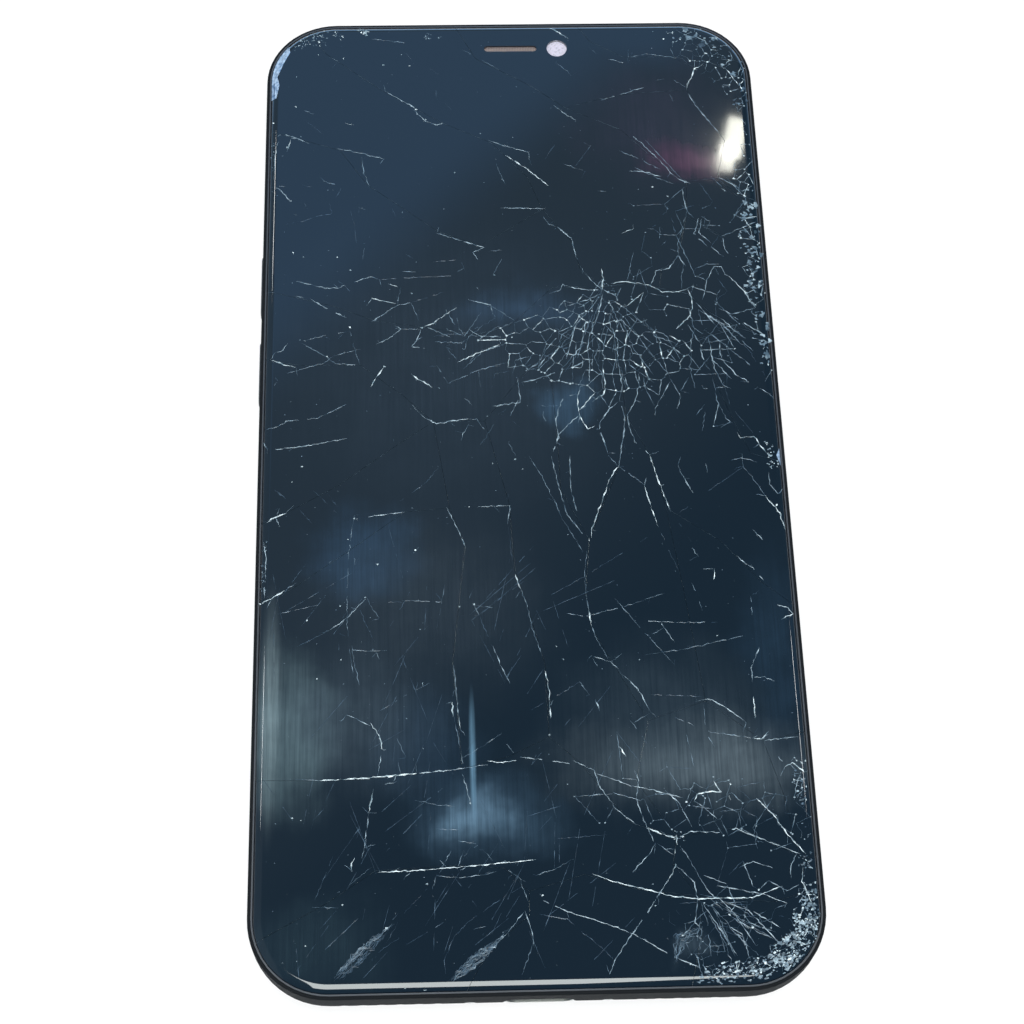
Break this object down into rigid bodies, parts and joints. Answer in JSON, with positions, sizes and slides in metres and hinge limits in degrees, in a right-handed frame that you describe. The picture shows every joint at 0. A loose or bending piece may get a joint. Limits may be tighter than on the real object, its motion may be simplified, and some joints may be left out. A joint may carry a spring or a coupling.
{
  "type": "shattered screen phone",
  "caption": "Dark slab phone lying on its back, its cover glass shattered, with side buttons, card tray and charging port.",
  "frame": {"origin": "middle of the back's flat face, which the phone rests on", "axes": "+Z out of the screen, +Y to the earpiece end, +X to the side with the power button"},
  "size_m": [0.0722, 0.1456, 0.0081],
  "materials": {
    "cracked_glass": "glossy dark navy, cracked",
    "clear_adhesive": "clear film",
    "display_panel": "glossy black, switched off",
    "graphite_backing": "graphite foil",
    "bezel_plastic": "moulded, satin",
    "flex_film": "amber polyimide film",
    "mesh_steel": "fine woven mesh",
    "module_black": "moulded black",
    "foam_pale": "pale foam",
    "frame_aluminium": "dark anodised, scuffed",
    "gap_plastic": "moulded into the frame",
    "button_aluminium": "dark anodised",
    "switch_brass": "stamped, gold plated",
    "card_white": "plain white card",
    "board_fr4": "dark green solder mask",
    "shield_steel": "stamped, tin plated",
    "chip_epoxy": "moulded epoxy",
    "screw_steel": "machined",
    "camera_glass": "dark coated glass",
    "flash_phosphor": "yellow phosphor",
    "flash_lens": "frosted",
    "battery_foil": "black pouch wrap",
    "pull_strip": "stretchy white strip",
    "coil_copper": "wound copper, enamelled",
    "tape_black": "black tape",
    "back_glass": "glossy dark shell"
  },
  "bodies": {
    "phone": {"cover_glass": "cracked_glass", "optical_adhesive": "clear_adhesive", "display_panel": "display_panel", "panel_backing": "graphite_backing", "display_bezel": "bezel_plastic", "display_flex": "flex_film", "earpiece_mesh": "mesh_steel", "earpiece_speaker": "module_black", "front_camera": "module_black", "camera_gasket": "foam_pale", "light_sensor": "module_black", "frame": "frame_aluminium", "antenna_gaps": "gap_plastic", "power_switch": "switch_brass", "volume_switches": "switch_brass", "sim_reader": "shield_steel", "main_board": "board_fr4", "board_shields": "shield_steel", "processor": "chip_epoxy", "board_connectors": "chip_epoxy", "connector_cover": "shield_steel", "board_screws": "screw_steel", "interconnect_flex": "flex_film", "sub_board": "board_fr4", "rear_camera_main": "module_black", "rear_camera_wide": "module_black", "rear_camera_window": "camera_glass", "flash_led": "flash_phosphor", "flash_lens": "flash_lens", "battery": "battery_foil", "battery_strips": "pull_strip", "battery_lead": "flex_film", "charging_coil": "coil_copper", "graphite_sheet": "graphite_backing", "charging_port": "shield_steel", "charging_tongue": "chip_epoxy", "loudspeaker": "module_black", "speaker_mesh": "mesh_steel", "bottom_microphone": "switch_brass", "vibration_motor": "shield_steel", "bottom_screws": "screw_steel", "upper_antenna": "switch_brass", "back_adhesive": "tape_black", "back_cover": "back_glass"},
    "power_button": {"power_button": "button_aluminium"},
    "volume_up_button": {"volume_up_button": "button_aluminium"},
    "volume_down_button": {"volume_down_button": "button_aluminium"},
    "sim_tray": {"sim_tray": "button_aluminium", "sim_card": "card_white"}
  },
  "joints": [
    {"name": "power_button_press", "type": "slide", "parent": "phone", "child": "power_button", "axis": [-1, 0, 0], "range_m": [0, 0.0003], "stiffness_N_per_m": 1500},
    {"name": "volume_up_button_press", "type": "slide", "parent": "phone", "child": "volume_up_button", "axis": [1, 0, 0], "range_m": [0, 0.0003], "stiffness_N_per_m": 1500},
    {"name": "volume_down_button_press", "type": "slide", "parent": "phone", "child": "volume_down_button", "axis": [1, 0, 0], "range_m": [0, 0.0003], "stiffness_N_per_m": 1500},
    {"name": "sim_tray_slide", "type": "slide", "parent": "phone", "child": "sim_tray", "axis": [1, 0, 0], "range_m": [0, 0.02]}
  ]
}
